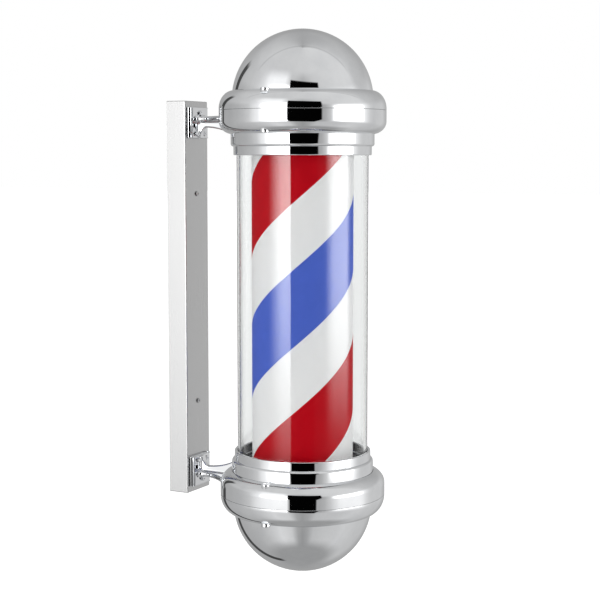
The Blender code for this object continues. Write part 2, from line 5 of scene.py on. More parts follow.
import bpy
import numpy as np
from bpy.props import FloatProperty, FloatVectorProperty, PointerProperty
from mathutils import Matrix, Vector


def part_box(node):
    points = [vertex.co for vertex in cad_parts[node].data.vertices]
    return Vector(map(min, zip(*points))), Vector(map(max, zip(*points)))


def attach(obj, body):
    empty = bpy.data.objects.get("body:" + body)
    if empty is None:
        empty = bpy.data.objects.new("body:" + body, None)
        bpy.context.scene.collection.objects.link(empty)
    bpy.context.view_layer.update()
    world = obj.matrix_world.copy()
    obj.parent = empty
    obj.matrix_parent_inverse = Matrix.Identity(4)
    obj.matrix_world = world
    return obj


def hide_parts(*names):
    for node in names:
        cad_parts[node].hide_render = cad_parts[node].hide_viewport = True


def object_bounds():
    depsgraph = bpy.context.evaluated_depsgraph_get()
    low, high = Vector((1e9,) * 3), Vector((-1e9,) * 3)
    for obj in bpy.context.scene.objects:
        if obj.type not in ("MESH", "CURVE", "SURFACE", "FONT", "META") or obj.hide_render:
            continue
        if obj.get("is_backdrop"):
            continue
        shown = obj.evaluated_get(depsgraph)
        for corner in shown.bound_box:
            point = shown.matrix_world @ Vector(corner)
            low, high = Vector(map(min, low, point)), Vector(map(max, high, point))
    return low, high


bl_info = {
    "name": "Barber Pole Light",
    "version": (1, 0, 0),
    "blender": (4, 5, 0),
    "location": "3D View > Sidebar > Barber Pole",
    "description": "Finished surfaces, materials and studio for a wall-mounted barber pole light",
    "category": "Object",
}

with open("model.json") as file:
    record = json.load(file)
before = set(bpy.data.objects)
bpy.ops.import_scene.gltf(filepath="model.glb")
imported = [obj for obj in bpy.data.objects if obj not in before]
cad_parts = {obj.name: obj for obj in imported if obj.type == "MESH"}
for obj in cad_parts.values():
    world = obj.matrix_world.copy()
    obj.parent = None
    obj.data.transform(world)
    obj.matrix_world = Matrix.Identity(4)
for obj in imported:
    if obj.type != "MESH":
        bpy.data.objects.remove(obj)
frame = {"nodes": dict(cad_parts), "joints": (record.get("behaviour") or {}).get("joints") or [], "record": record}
CAD_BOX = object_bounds()

MM = 0.001


def reach(node):
    """The furthest a node stands from the pole's axis along X."""
    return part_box(node)[1].x


# The pole, read from the frame.
AXIS_Y = frame["joints"][0]["pos_m"][1]
POLE_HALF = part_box("top_dome")[1].z
BAND_RADIUS = reach("top_band")
TUBE_RADIUS = reach("outer_tube")
TUBE_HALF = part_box("outer_tube")[1].z
FILM_RADIUS = reach("stripe_film")
FILM_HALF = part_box("stripe_film")[1].z
DRUM_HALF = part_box("drum_shell")[1].z
SEAM_Z = (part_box("top_band")[1].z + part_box("top_shoulder")[0].z) / 2
RING_2_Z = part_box("top_collar")[0].z
CHANNEL_LOW, CHANNEL_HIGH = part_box("wall_channel")

# Sizes that the frame's boxes don't give.
DOME_RADIUS = 89.8 * MM
DOME_WALL = 2.4 * MM
DOME_FLANGE_Z = 261.2 * MM
FLANGE_RADIUS = 96 * MM
FLANGE_THICKNESS = 2.5 * MM
BAND_WALL = 3 * MM
SEAM_HALF_GAP = 0.12 * MM
SEAM_EDGE = 0.25 * MM
BAND_ROUND_WIDTH = 18.3 * MM
SHOULDER_ARC_Z = 247.5 * MM
SHOULDER_ARC_HEIGHT = 23 * MM
SHOULDER_HOLE = 90.2 * MM
SHOULDER_LIP_Z = 261.5 * MM
BAND_ARC_Z = 232 * MM
BAND_ARC_HEIGHT = 16.2 * MM
BAND_HOLE = 91.7 * MM
BAND_LIP_Z = 226.1 * MM
LIP_EDGE_RADIUS = 97.5 * MM
LIP_SLOPE = 5.5 * MM
RING_1_RADIUS = 91.3 * MM
RING_2_RADIUS = 87.8 * MM
RING_ROUND_Z = 203.8 * MM
SEAT_Z = 204.8 * MM
SEAT_RADIUS = 80 * MM
TUBE_WALL = 4 * MM
FILM_WALL = 0.4 * MM
DRUM_RADIUS = 64.3 * MM
DRUM_WALL = 1.2 * MM
GAP = 0.3 * MM
LIP_EASE = 0.5 * MM
COLLAR_BORE_EASE = 0.8 * MM
COLLAR_RIM_EASE = 1.2 * MM
GASKET_EASE = 0.5 * MM
TUBE_EASE = 0.6 * MM

CHANNEL_WALL = 1.5 * MM
CHANNEL_EDGE = 1.2 * MM
FOOT_WIDTH = 47 * MM
FOOT_HEIGHT = 40 * MM
FOOT_DEPTH = 6.2 * MM
FOOT_ROUND = 5.9 * MM
FOOT_EASE = 0.7 * MM
FOOT_BACK_EASE = 0.4 * MM
FOOT_Z = 231.8 * MM
FLANGE_LOW_Z = 233 * MM
FLANGE_HIGH_Z = 240 * MM
ARM_HALF_WIDTH = 9.5 * MM
ARM_FLARE = 29 * MM
FLARE_START_Y = -45 * MM
FLARE_LENGTH = 44 * MM
FLARE_POWER = 1.6
ARM_FILLET = 6.5 * MM
FLANGE_EASE = 3.3 * MM
WEB_HALF_WIDTH = 3.5 * MM
WEB_FOOT_Z = 225.5 * MM
WEB_DROP = 15 * MM
WEB_LENGTH = 56 * MM
WEB_POWER = 2.6
WEB_EASE = 2.6 * MM
WEB_TOP_EASE = 2.5 * MM
WEB_FILLET_WIDTH = 8 * MM
WEB_FILLET_HEIGHT = 13 * MM
RIB_DEPTH = 2 * MM
RIM_HEAD_RADIUS = 5.7 * MM
RIM_HEAD_HEIGHT = 6 * MM
FOOT_HEAD = (3.4 * MM, 2.2 * MM)
CHANNEL_HEAD = (3.2 * MM, 1.6 * MM)

# How finely curves are drawn.
ROUND_STEPS = 160
ARC_STEPS = 20
FILLET_STEPS = 6
SUPPORT = 0.12 * MM


# Meshes.


def settle(name, mesh, body, material, *nodes):
    """Links a mesh as a piece that rides on body, carries a material and stands for some frame nodes."""
    piece = bpy.data.objects.new(name, mesh)
    bpy.context.scene.collection.objects.link(piece)
    piece.data.materials.append(material)
    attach(piece, body)
    if nodes:
        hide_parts(*nodes)
    return piece


def skin(name, grids, sharp=40):
    """One mesh over several grids of points, each shaped (rows, columns, 3).

    Columns always close on themselves. Rows close on themselves when closed is true; otherwise each end is
    closed with a fan to the middle of its row. A grid's rows run so that (along columns) x (along rows)
    points outwards.
    """
    points, triangles, quads, start = [], [], [], 0
    for grid, closed in grids:
        rows, columns = grid.shape[:2]
        number = np.arange(rows * columns).reshape(rows, columns) + start
        ring = np.roll(number, -1, axis=1)
        low = np.arange(rows if closed else rows - 1)
        high = (low + 1) % rows
        quads.append(np.stack([number[low], ring[low], ring[high], number[high]], axis=-1).reshape(-1, 4))
        points.append(grid.reshape(-1, 3))
        start += rows * columns
        if not closed:
            for row, inner, outer in ((0, ring[0], number[0]), (-1, number[-1], ring[-1])):
                points.append(grid[row].mean(axis=0)[None])
                middle = np.full(columns, start)
                triangles.append(np.stack([middle, inner, outer], axis=-1))
                start += 1
    triangles = np.concatenate(triangles) if triangles else np.zeros((0, 3), int)
    quads = np.concatenate(quads)
    vertices = np.concatenate(points)
    mesh = bpy.data.meshes.new(name)
    mesh.vertices.add(len(vertices))
    mesh.vertices.foreach_set("co", vertices.astype(np.float32).ravel())
    corners = np.concatenate([quads.ravel(), triangles.ravel()])
    mesh.loops.add(len(corners))
    mesh.loops.foreach_set("vertex_index", corners.astype(np.int32))
    starts = np.concatenate([np.arange(len(quads)) * 4, len(quads) * 4 + np.arange(len(triangles)) * 3])
    mesh.polygons.add(len(starts))
    mesh.polygons.foreach_set("loop_start", starts.astype(np.int32))
    mesh.update(calc_edges=True)
    mesh.validate()
    mesh.shade_smooth()
    mesh.set_sharp_from_angle(angle=np.radians(sharp))
    return mesh


def rounded(corners, radii, steps=FILLET_STEPS):
    """A closed outline with each corner replaced by an arc that touches both of its sides.

    corners is (..., n, 2) and radii n numbers. Each arc leaves its sides at radius / tan(half the corner's
    angle) from the corner, and a support point stands just before and after it, so that flat sides stay flat
    when shaded.
    """
    corners = np.asarray(corners, float)
    before = np.roll(corners, 1, axis=-2) - corners
    after = np.roll(corners, -1, axis=-2) - corners
    length_before = np.linalg.norm(before, axis=-1, keepdims=True)
    length_after = np.linalg.norm(after, axis=-1, keepdims=True)
    before, after = before / length_before, after / length_after
    cosine = np.clip((before * after).sum(-1, keepdims=True), -1, 1)
    half = np.arccos(cosine) / 2
    radius = np.asarray(radii, float)[:, None] * np.ones_like(half)
    touch = radius / np.tan(half)
    inwards = (before + after) / np.linalg.norm(before + after, axis=-1, keepdims=True)
    middle = corners + inwards * radius / np.sin(half)
    first, last = corners + before * touch - middle, corners + after * touch - middle
    share = np.linspace(0, 1, steps + 1)
    sweep = np.pi - 2 * half
    weight_first = (np.sin((1 - share) * sweep) / np.sin(sweep))[..., None]
    weight_last = (np.sin(share * sweep) / np.sin(sweep))[..., None]
    arcs = middle[..., None, :] + weight_first * first[..., None, :] + weight_last * last[..., None, :]
    lead_in = (corners + before * (touch + SUPPORT))[..., None, :]
    lead_out = (corners + after * (touch + SUPPORT))[..., None, :]
    outline = np.concatenate([lead_in, arcs, lead_out], axis=-2)
    return outline.reshape(*outline.shape[:-3], -1, 2)


def ellipse(centre, width, height, start, stop, steps=ARC_STEPS):
    """Points centre + (width cos a, height sin a), for a from start to stop degrees."""
    angle = np.radians(np.linspace(start, stop, steps + 1))
    return np.stack([centre[0] + width * np.cos(angle), centre[1] + height * np.sin(angle)], axis=-1)


def turn(outline, steps=ROUND_STEPS, closed=True, sign=1):
    """Carries an outline of (r, height) round the vertical: x = r cos a, y = r sin a, z = sign * height."""
    outline = np.asarray(outline, float) * (1, sign)
    x, y = outline[:, 0], outline[:, 1]
    area = (x * np.roll(y, -1) - np.roll(x, -1) * y).sum()
    if area < 0:
        outline = outline[::-1]
    angle = np.linspace(0, 2 * np.pi, steps, endpoint=False)
    radius, height = outline[:, 0, None], outline[:, 1, None]
    grid = np.stack([radius * np.cos(angle), radius * np.sin(angle), height + 0 * angle], axis=-1)
    return grid, closed


def placed(grid, origin, direction=(0, 0, 1)):
    """Moves a grid so that its origin lies at origin and its own +Z points along direction."""
    points, closed = grid
    turn_to = np.array(Vector(direction).to_track_quat("Z", "Y").to_matrix())
    return points @ turn_to.T + np.asarray(origin, float), closed


def on_axis(grid):
    return placed(grid, (0, AXIS_Y, 0))


# Materials: a socket that does sums, and a sheet of nodes that makes them.


class Value:
    """A number carried by a socket; each sign adds the Math node that works it out."""

    def __init__(self, sheet, socket):
        self.sheet = sheet
        self.socket = socket

    def __add__(self, other):
        return self.sheet.math("ADD", self, other)

    def __sub__(self, other):
        return self.sheet.math("SUBTRACT", self, other)

    def __rsub__(self, other):
        return self.sheet.math("SUBTRACT", other, self)

    def __mul__(self, other):
        return self.sheet.math("MULTIPLY", self, other)

    def __truediv__(self, other):
        return self.sheet.math("DIVIDE", self, other)

    __radd__ = __add__
    __rmul__ = __mul__


class Sheet:
    """The nodes of one material or world."""

    def __init__(self, tree):
        self.tree = tree
        tree.nodes.clear()

    def node(self, kind, settings=None, sockets=None, output=0):
        """Adds a node: its settings first, then its sockets' values or links. Returns one of its outputs."""
        node = self.tree.nodes.new(kind)
        for key, value in (settings or {}).items():
            if key == "stops":
                while len(node.color_ramp.elements) < len(value):
                    node.color_ramp.elements.new(1.0)
                for element, (position, colour) in zip(node.color_ramp.elements, value):
                    element.position = position
                    element.color = (*colour, 1.0)
            else:
                setattr(node, key, value)
        for key, value in (sockets or {}).items():
            if isinstance(value, Value):
                self.tree.links.new(value.socket, node.inputs[key])
            else:
                node.inputs[key].default_value = value
        return Value(self, node.outputs[output]) if node.outputs else None

    def math(self, operation, *values):
        return self.node("ShaderNodeMath", {"operation": operation}, dict(enumerate(values)))

    def position(self):
        return self.node("ShaderNodeTexCoord", output="Object")

    def split(self, vector):
        """A vector's x, y and z."""
        x = self.node("ShaderNodeSeparateXYZ", sockets={"Vector": vector})
        return [Value(self, socket) for socket in x.socket.node.outputs]

    def stretched(self, vector, scale):
        """A vector times scale along each axis."""
        return self.node("ShaderNodeVectorMath", {"operation": "MULTIPLY"}, {0: vector, 1: scale})

    def noise(self, vector, scale, detail=2.0, roughness=0.5):
        """Cloudy noise round 0.5, with scale blobs to the metre."""
        return self.node(
            "ShaderNodeTexNoise",
            sockets={"Vector": vector, "Scale": scale, "Detail": detail, "Roughness": roughness},
        )

    def ease(self, value, low, high, start=0.0, stop=1.0):
        """start below low, stop above high and a smooth step between."""
        return self.node(
            "ShaderNodeMapRange",
            {"interpolation_type": "SMOOTHSTEP"},
            {"Value": value, "From Min": low, "From Max": high, "To Min": start, "To Max": stop},
        )

    def window(self, value, low, high, soft_low, soft_high):
        """1 between low and high, easing to 0 over each side's softness."""
        rising = self.ease(value, low - soft_low, low)
        return rising * self.ease(value, high, high + soft_high, 1.0, 0.0)

    def blend(self, factor, first, second):
        """A colour between two others."""
        return self.node(
            "ShaderNodeMix", {"data_type": "RGBA"}, {"Factor": factor, 6: first, 7: second}, output=2
        )

    def bump(self, height, depth, normal=None):
        """A normal for a height from 0 to 1 that stands depth metres proud."""
        sockets = {"Height": height, "Distance": depth, "Strength": 1.0}
        if normal is not None:
            sockets["Normal"] = normal
        return self.node("ShaderNodeBump", sockets=sockets)

    def surface(self, **sockets):
        """The Principled shader and the output; underscores in socket names stand for spaces."""
        named = {key.replace("_", " "): value for key, value in sockets.items()}
        shader = self.node("ShaderNodeBsdfPrincipled", sockets=named)
        self.node("ShaderNodeOutputMaterial", sockets={"Surface": shader})


def material(name, slot):
    """An empty material's sheet, and the material."""
    made = bpy.data.materials.new(name)
    made.use_nodes = True
    made["slot"] = slot
    return made, Sheet(made.node_tree)


def grey(value):
    return (value, value, value, 1.0)


def make_chrome(roughness):
    """Bright plating over spun and cast metal: slow waves, fine polishing rings and wiped smears."""
    made, sheet = material("polished_chrome", "chrome")
    clean, wiped = (0.86, 0.87, 0.88, 1.0), (0.8, 0.81, 0.825, 1.0)
    place = sheet.position()
    waves = sheet.noise(place, 22.0, 2.0)
    rings = sheet.noise(sheet.stretched(place, (3.0, 3.0, 900.0)), 1.0, 2.0)
    smears = sheet.noise(place, 34.0, 4.0, 0.6)
    specks = sheet.noise(place, 1100.0, 1.0)
    normal = sheet.bump(waves, 0.012 * MM)
    normal = sheet.bump(rings, 0.00035 * MM, normal=normal)
    sheet.surface(
        Base_Color=sheet.blend(sheet.ease(smears, 0.3, 0.7), clean, wiped),
        Metallic=1.0,
        Roughness=roughness + sheet.ease(smears, 0.45, 0.75) * 0.03 + sheet.ease(specks, 0.62, 0.8) * 0.05,
        Normal=normal,
    )
    return made


def make_satin_steel():
    """Satin stainless steel, brushed along its length."""
    made, sheet = material("satin_stainless", "satin_steel")
    place = sheet.position()
    brush = sheet.noise(sheet.stretched(place, (2600.0, 2600.0, 26.0)), 1.0, 3.0, 0.6)
    cloud = sheet.noise(place, 9.0, 3.0)
    sheet.surface(
        Base_Color=sheet.blend(brush, grey(0.66), grey(0.56)),
        Metallic=1.0,
        Roughness=0.16 + brush * 0.12 + cloud * 0.06,
        Normal=sheet.bump(brush, 0.006 * MM),
    )
    return made


def make_zinc_steel():
    """Zinc plate: pale grey with a faint bluish and yellowish bloom."""
    made, sheet = material("zinc_plate", "zinc_steel")
    bluish, yellowish = (0.53, 0.545, 0.57, 1.0), (0.575, 0.57, 0.55, 1.0)
    place = sheet.position()
    bloom = sheet.noise(place, 45.0, 3.0)
    grain = sheet.noise(place, 900.0, 2.0)
    sheet.surface(
        Base_Color=sheet.blend(sheet.ease(bloom, 0.35, 0.65), bluish, yellowish),
        Metallic=1.0,
        Roughness=0.32 + grain * 0.16,
        Normal=sheet.bump(grain, 0.008 * MM),
    )
    return made


def make_acrylic():
    """Clear polished acrylic with a trace of haze where it has been wiped."""
    made, sheet = material("clear_acrylic", "clear_acrylic")
    place = sheet.position()
    haze = sheet.noise(sheet.stretched(place, (60.0, 60.0, 8.0)), 1.0, 4.0, 0.6)
    sheet.surface(
        Base_Color=sheet.blend(haze, (0.985, 0.992, 0.99, 1.0), (0.955, 0.967, 0.965, 1.0)),
        Roughness=0.0,
        IOR=1.49,
        Transmission_Weight=1.0,
    )
    return made


def make_stripe_film(settings):
    """Printed film: red, white and blue bands wound round the axis as a right-handed helix, which also gives off
    its own colours as painted light.

    A point's phase is its height less the height that a stripe gains in going round to its angle, in rises.
    """
    made, sheet = material("stripe_film", "stripe_film")
    x, y, z = sheet.split(sheet.position())
    angle = sheet.math("ARCTAN2", y - AXIS_Y, x) / (2 * np.pi)
    phase = sheet.math("FRACT", (z - settings.stripe_start) / settings.stripe_rise - angle)
    white = 0.5 - settings.stripe_height / settings.stripe_rise
    edge = 0.0006
    red = sheet.window(phase, white, 0.5, edge, edge)
    blue = sheet.ease(phase, 0.5 + white - edge, 0.5 + white)
    mottle = sheet.noise(sheet.position(), 160.0, 3.0)
    ground = sheet.blend(mottle, grey(settings.white_level), grey(settings.white_level * 0.96))
    ink_red = sheet.blend(mottle, (*settings.red, 1.0), (*[c * 0.9 for c in settings.red], 1.0))
    ink_blue = sheet.blend(mottle, (*settings.blue, 1.0), (*[c * 0.9 for c in settings.blue], 1.0))
    ink = sheet.blend(blue, sheet.blend(red, ground, ink_red), ink_blue)
    sheet.surface(
        Base_Color=ink,
        Roughness=0.5 + mottle * 0.1,
        Specular_IOR_Level=0.12,
        # Painted light: the film gives off its ink colours, standing in for studio light falling on it.
        Emission_Color=ink,
        Emission_Strength=settings.painted_glow,
        Normal=sheet.bump(mottle, 0.004 * MM),
    )
    return made


def make_moulding(name, slot, light, dark, roughness, depth):
    """Moulded plastic or rubber: a fine spark-eroded grain and a slight cloud in its colour."""
    made, sheet = material(name, slot)
    place = sheet.position()
    cloud = sheet.noise(place, 30.0, 3.0)
    grain = sheet.noise(place, 1400.0, 2.0)
    sheet.surface(
        Base_Color=sheet.blend(cloud, (*light, 1.0), (*dark, 1.0)),
        Roughness=roughness + grain * 0.12,
        Normal=sheet.bump(grain, depth),
    )
    return made


def make_turned_metal(name, slot, light, dark, roughness):
    """Turned metal: fine rings across the axis under a faint tarnish."""
    made, sheet = material(name, slot)
    place = sheet.position()
    rings = sheet.noise(sheet.stretched(place, (40.0, 40.0, 2400.0)), 1.0, 2.0)
    tarnish = sheet.noise(place, 60.0, 4.0)
    sheet.surface(
        Base_Color=sheet.blend(sheet.ease(tarnish, 0.3, 0.7), (*light, 1.0), (*dark, 1.0)),
        Metallic=1.0,
        Roughness=roughness + rings * 0.12,
        Normal=sheet.bump(rings, 0.004 * MM),
    )
    return made


FINISHES = {}


def make_finishes(settings):
    """Every finish of the light, by the slot it belongs to."""
    FINISHES.update(
        chrome=make_chrome(settings.chrome_roughness),
        satin_steel=make_satin_steel(),
        zinc_steel=make_zinc_steel(),
        clear_acrylic=make_acrylic(),
        stripe_film=make_stripe_film(settings),
        drum_plastic=make_moulding(
            "drum_plastic", "drum_plastic", (0.82, 0.82, 0.8), (0.76, 0.76, 0.74), 0.4, 0.01 * MM
        ),
        rubber=make_moulding(
            "black_rubber", "rubber", (0.03, 0.03, 0.03), (0.015, 0.015, 0.016), 0.6, 0.02 * MM
        ),
        white_plastic=make_moulding(
            "white_plastic", "white_plastic", (0.83, 0.83, 0.81), (0.77, 0.77, 0.75), 0.38, 0.01 * MM
        ),
        black_plastic=make_moulding(
            "black_plastic", "black_plastic", (0.035, 0.035, 0.038), (0.02, 0.02, 0.022), 0.4, 0.015 * MM
        ),
        motor_steel=make_turned_metal(
            "motor_steel", "motor_steel", (0.42, 0.42, 0.43), (0.33, 0.33, 0.34), 0.34
        ),
        brass=make_turned_metal("turned_brass", "brass", (0.78, 0.6, 0.28), (0.66, 0.48, 0.2), 0.22),
    )


# The pole's turned shells, drawn for the upper end.

ARC_CENTRE = BAND_RADIUS - BAND_ROUND_WIDTH


def lip_angle(hole):
    """The angle, from outwards, at which the band's rounding reaches the edge of a hole."""
    return float(np.degrees(np.arccos((hole - ARC_CENTRE) / BAND_ROUND_WIDTH)))


def dome_outline():
    centre = POLE_HALF - DOME_RADIUS
    inner = DOME_RADIUS - DOME_WALL
    foot = DOME_FLANGE_Z - FLANGE_THICKNESS
    outside = ellipse((0, centre), DOME_RADIUS, DOME_RADIUS, 0.5, 89.6, 3 * ARC_STEPS)
    inside = ellipse((0, centre), inner, inner, 89.6, 0.5, 2 * ARC_STEPS)
    brim = [(inner, foot), (FLANGE_RADIUS, foot)]
    brim += [(FLANGE_RADIUS, DOME_FLANGE_Z), (DOME_RADIUS, DOME_FLANGE_Z)]
    return np.concatenate([inside, brim, outside])


def shoulder_outline():
    low = SEAM_Z + SEAM_HALF_GAP
    inner = BAND_RADIUS - BAND_WALL
    stop = lip_angle(SHOULDER_HOLE + LIP_EASE)
    curve = ellipse((ARC_CENTRE, SHOULDER_ARC_Z), BAND_ROUND_WIDTH, SHOULDER_ARC_HEIGHT, 2, stop)
    edge = ellipse((BAND_RADIUS - SEAM_EDGE, low + SEAM_EDGE), SEAM_EDGE, SEAM_EDGE, -90, 0, FILLET_STEPS)
    lip_z = curve[-1, 1] - LIP_EASE
    lip = ellipse((SHOULDER_HOLE + LIP_EASE, lip_z), LIP_EASE, LIP_EASE, 90, 180, FILLET_STEPS)
    inside = [(SHOULDER_HOLE, SHOULDER_LIP_Z), (LIP_EDGE_RADIUS, SHOULDER_LIP_Z)]
    inside.append((inner, SHOULDER_LIP_Z - LIP_SLOPE))
    return np.concatenate([[(inner, low)], edge, curve, lip, inside])


def band_outline():
    high = SEAM_Z - SEAM_HALF_GAP
    inner = BAND_RADIUS - BAND_WALL
    curve = ellipse((ARC_CENTRE, BAND_ARC_Z), BAND_ROUND_WIDTH, BAND_ARC_HEIGHT, -lip_angle(BAND_HOLE), 0)
    edge = ellipse((BAND_RADIUS - SEAM_EDGE, high - SEAM_EDGE), SEAM_EDGE, SEAM_EDGE, 0, 90, FILLET_STEPS)
    support = [(BAND_RADIUS, BAND_ARC_Z + 2 * SUPPORT), (BAND_RADIUS, high - SEAM_EDGE - SUPPORT)]
    inside = [(inner, high), (inner, BAND_LIP_Z + LIP_SLOPE)]
    inside += [(LIP_EDGE_RADIUS, BAND_LIP_Z), (BAND_HOLE, BAND_LIP_Z)]
    return np.concatenate([curve, support, edge, inside])


def collar_outline():
    """Two rings joined by a quarter round, with a bore for the tube's end and a flange inside the band.

    Only the first two of the rounded outline's corners are kept; the quarter round takes over from there.
    """
    bore = TUBE_RADIUS + GAP
    flange = BAND_LIP_Z + GAP
    top = flange + FLANGE_THICKNESS
    step = RING_1_RADIUS - RING_2_RADIUS
    below = RING_ROUND_Z - 2 * step
    corners = [(bore, RING_2_Z), (RING_2_RADIUS, RING_2_Z), (RING_2_RADIUS, below), (bore, SEAT_Z)]
    low = rounded(corners, [COLLAR_BORE_EASE, COLLAR_RIM_EASE, SUPPORT, SUPPORT])[: 2 * (FILLET_STEPS + 3)]
    quarter = ellipse((RING_2_RADIUS, RING_ROUND_Z), step, step, -88, -2)
    seat = [(RING_1_RADIUS, flange), (FLANGE_RADIUS, flange), (FLANGE_RADIUS, top), (SEAT_RADIUS, top)]
    return np.concatenate([low, quarter, seat, [(SEAT_RADIUS, SEAT_Z), (bore, SEAT_Z)]])


def make_end_shells():
    for end, sign in (("top", 1), ("bottom", -1)):
        for part, outline in (
            ("dome", dome_outline()),
            ("shoulder", shoulder_outline()),
            ("band", band_outline()),
            ("collar", collar_outline()),
        ):
            name = f"{end}_{part}_shell"
            mesh = skin(name, [on_axis(turn(outline, sign=sign))])
            settle(name, mesh, "root", FINISHES["chrome"], f"{end}_{part}")
        low = TUBE_HALF + GAP
        high = SEAT_Z - GAP
        outside = TUBE_RADIUS - GAP
        corners = [(SEAT_RADIUS, low), (outside, low), (outside, high), (SEAT_RADIUS, high)]
        name = f"{end}_gasket_ring"
        grid = on_axis(turn(rounded(corners, [GASKET_EASE] * 4), sign=sign))
        settle(name, skin(name, [grid]), "root", FINISHES["rubber"], f"{end}_gasket")


def make_tube():
    """The clear outer tube, closed all round, with its ends eased."""
    inner = TUBE_RADIUS - TUBE_WALL
    corners = [(inner, -TUBE_HALF), (TUBE_RADIUS, -TUBE_HALF), (TUBE_RADIUS, TUBE_HALF), (inner, TUBE_HALF)]
    grid = on_axis(turn(rounded(corners, [TUBE_EASE] * 4)))
    settle("clear_tube", skin("clear_tube", [grid]), "root", FINISHES["clear_acrylic"], "outer_tube")


def make_drum():
    """The striped film on its plastic shell; both turn."""
    for name, node, radius, wall, half, finish in (
        ("striped_sleeve", "stripe_film", FILM_RADIUS, FILM_WALL, FILM_HALF, "stripe_film"),
        ("drum_cylinder", "drum_shell", DRUM_RADIUS, DRUM_WALL, DRUM_HALF, "drum_plastic"),
    ):
        inner = radius - wall
        corners = [(inner, -half), (radius, -half), (radius, half), (inner, half)]
        grid = on_axis(turn(rounded(corners, [wall / 4] * 4, 2)))
        settle(name, skin(name, [grid]), "drum", FINISHES[finish], node)


# The channel, the arms and their screws.


def frame_rows(half_width, half_height, profile):
    """Rounded rectangles in X and Z, one for each (inset, y, corner radius) of a profile."""
    rows = []
    for inset, y, corner in profile:
        width, height = half_width - inset, half_height - inset
        corners = [(-width, -height), (width, -height), (width, height), (-width, height)]
        flat = rounded(corners, [corner] * 4)
        rows.append(np.stack([flat[:, 0], np.full(len(flat), y), flat[:, 1]], axis=-1))
    return np.stack(rows)


def eased_edge(front, radius):
    """Profile points round an edge from a side wall to the face at y = front, which faces -Y."""
    angle = np.radians(np.linspace(0, 90, FILLET_STEPS + 1))
    return [(radius * (1 - np.cos(a)), front + radius * (1 - np.sin(a)), radius) for a in angle]


def make_channel():
    """The satin channel: a tray open to the wall, its front edges eased, with a thin folded wall."""
    front, back = CHANNEL_LOW.y, CHANNEL_HIGH.y
    edge = CHANNEL_EDGE
    outside = [(0, back, edge), (0, front + edge + SUPPORT, edge)] + eased_edge(front, edge)
    outside.append((edge + SUPPORT, front, edge))
    wall = CHANNEL_WALL
    inside = [(wall, back, edge), (wall, front + wall + SUPPORT, edge)]
    inside.append((wall + SUPPORT, front + wall, edge))
    rows = frame_rows(CHANNEL_HIGH.x, CHANNEL_HIGH.z, inside[::-1] + outside)
    name = "channel_cover"
    settle(name, skin(name, [(rows, False)]), "root", FINISHES["satin_steel"], "wall_channel")


def foot_grid(sign):
    """The foot's plate: its two upright front edges are quarter rounds, its upper and lower ends eased."""
    back = CHANNEL_LOW.y - GAP
    front = back - FOOT_DEPTH
    rows = []
    for end in (-1, 1):
        for angle in np.radians(np.linspace(0, 90, FILLET_STEPS + 1))[::end]:
            inset = FOOT_EASE * (1 - np.sin(angle))
            half = FOOT_WIDTH / 2 - inset
            near, far = back - inset, front + inset
            corners = [(-half, near), (-half, far), (half, far), (half, near)]
            flat = rounded(corners, [FOOT_BACK_EASE, FOOT_ROUND, FOOT_ROUND, FOOT_BACK_EASE], ARC_STEPS)
            height = end * (FOOT_HEIGHT / 2 - FOOT_EASE * (1 - np.cos(angle)))
            rows.append(np.column_stack([flat, np.full(len(flat), sign * FOOT_Z - height)]))
    return np.stack(rows), False


def arm_grid(sign):
    """The arm: a T section carried from the foot into the pole's end.

    The flange's half width grows with a power of the way past FLARE_START_Y, and the web's free edge sinks
    with a power of the way from the foot. The flange swells by a quarter circle into the foot, and the web by
    a quarter ellipse that ends in a rib down the foot's face. Each point's way along Y is stretched so that
    the last row lies just inside the band, or for the web just inside the collar.
    """
    way = np.concatenate([np.linspace(0, 0.2, 14), np.linspace(0.22, 1.0, 40)])
    face = CHANNEL_LOW.y - GAP - FOOT_DEPTH
    start = face + 1 * MM

    def along(end):
        return start + way * (end - start)

    def quarter(left):
        """How far a quarter circle of radius 1 has swelled with left of its way to go."""
        return 1 - np.sqrt(1 - np.clip(left, 0, 1) ** 2)

    half = np.full_like(way, ARM_HALF_WIDTH)
    for _ in range(8):
        edge_y = along(AXIS_Y + np.sqrt(BAND_RADIUS**2 - half**2))
        past = np.clip(FLARE_START_Y - edge_y, 0, None) / FLARE_LENGTH
        half = ARM_HALF_WIDTH + ARM_FLARE * past**FLARE_POWER
    flare = (half - ARM_HALF_WIDTH) / ARM_FLARE
    web_y = along(AXIS_Y + RING_1_RADIUS)
    web = np.clip((face - web_y) / WEB_LENGTH, 0, None)

    swell = ARM_FILLET * quarter(1 - (face - edge_y) / ARM_FILLET)
    web_swell = WEB_FILLET_HEIGHT * quarter(1 - (face - web_y - RIB_DEPTH) / WEB_FILLET_WIDTH)
    width = half + 0.7 * swell
    thick = WEB_HALF_WIDTH + 0.25 * swell + 1.5 * MM * flare
    low = WEB_FOOT_Z - WEB_DROP * web**WEB_POWER - web_swell
    top = np.full_like(way, FLANGE_HIGH_Z) + 0.3 * swell
    under = np.full_like(way, FLANGE_LOW_Z) - 0.3 * swell
    corners = np.stack(
        [
            np.stack([-thick, low], -1),
            np.stack([thick, low], -1),
            np.stack([thick, under], -1),
            np.stack([width, under], -1),
            np.stack([width, top], -1),
            np.stack([-width, top], -1),
            np.stack([-width, under], -1),
            np.stack([-thick, under], -1),
        ],
        axis=1,
    )
    section = rounded(corners, [WEB_EASE] * 2 + [WEB_TOP_EASE] + [FLANGE_EASE] * 4 + [WEB_TOP_EASE])
    x, z = section[..., 0], section[..., 1]
    flange = np.sqrt(BAND_RADIUS**2 - x**2) - 1 * MM
    end = AXIS_Y + np.where(z < FLANGE_LOW_Z - 0.5 * MM, RING_1_RADIUS - 2 * MM, flange)
    y = start + way[:, None] * (end - start)
    grid = np.stack([x, y, sign * z], axis=-1)
    return (grid if sign > 0 else grid[:, ::-1]), False


